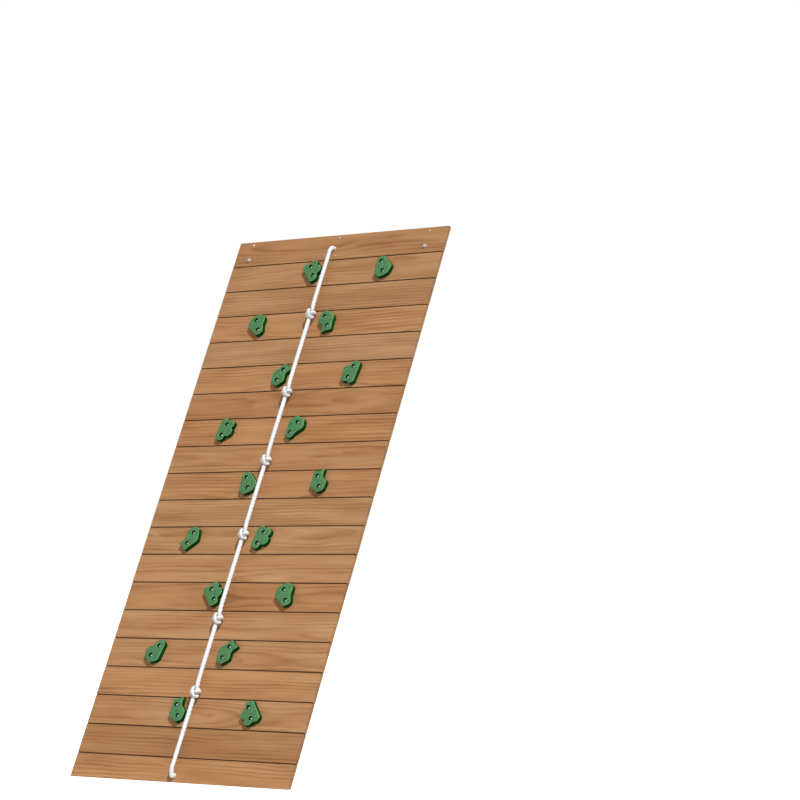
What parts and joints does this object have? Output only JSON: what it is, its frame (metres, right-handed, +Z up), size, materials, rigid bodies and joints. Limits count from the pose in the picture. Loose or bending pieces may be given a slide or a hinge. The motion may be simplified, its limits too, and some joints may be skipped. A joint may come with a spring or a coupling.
{
  "type": "leaning climbing wall",
  "caption": "Leaning plank climbing wall with bolt-on moulded holds and a knotted hand rope tied through its face, for a play platform.",
  "frame": {"origin": "centre of the middle rail's level-cut foot, on the ground", "axes": "+Z up, +X across the planks to the climber's right, +Y level, towards the platform the wall leans on"},
  "size_m": [1.219, 1.334, 2.5052],
  "materials": {
    "stained_pine": "matt stain",
    "stained_pine_rail": "matt stain",
    "green_moulded_plastic": "finely textured moulding",
    "zinc_plated_steel": "zinc plated",
    "white_rope": "laid fibre"
  },
  "bodies": {
    "root": {"climbing_rope": "white_rope", "hold_01": "green_moulded_plastic", "hold_02": "green_moulded_plastic", "hold_03": "green_moulded_plastic", "hold_04": "green_moulded_plastic", "hold_05": "green_moulded_plastic", "hold_06": "green_moulded_plastic", "hold_07": "green_moulded_plastic", "hold_08": "green_moulded_plastic", "hold_09": "green_moulded_plastic", "hold_10": "green_moulded_plastic", "hold_11": "green_moulded_plastic", "hold_12": "green_moulded_plastic", "hold_13": "green_moulded_plastic", "hold_14": "green_moulded_plastic", "hold_15": "green_moulded_plastic", "hold_16": "green_moulded_plastic", "hold_17": "green_moulded_plastic", "hold_18": "green_moulded_plastic", "lag_bolt_left": "zinc_plated_steel", "lag_bolt_right": "zinc_plated_steel", "lag_washer_left": "zinc_plated_steel", "lag_washer_right": "zinc_plated_steel", "left_rail": "stained_pine_rail", "low_screw_middle": "zinc_plated_steel", "lower_stopper_knot": "white_rope", "middle_rail": "stained_pine_rail", "plank_01": "stained_pine", "plank_02": "stained_pine", "plank_03": "stained_pine", "plank_04": "stained_pine", "plank_05": "stained_pine", "plank_06": "stained_pine", "plank_07": "stained_pine", "plank_08": "stained_pine", "plank_09": "stained_pine", "plank_10": "stained_pine", "plank_11": "stained_pine", "plank_12": "stained_pine", "plank_13": "stained_pine", "plank_14": "stained_pine", "plank_15": "stained_pine", "plank_16": "stained_pine", "plank_17": "stained_pine", "plank_18": "stained_pine", "plank_19": "stained_pine", "plank_20": "stained_pine", "right_rail": "stained_pine_rail", "top_screw_left": "zinc_plated_steel", "top_screw_middle": "zinc_plated_steel", "top_screw_right": "zinc_plated_steel", "upper_stopper_knot": "white_rope"}
  },
  "joints": []
}
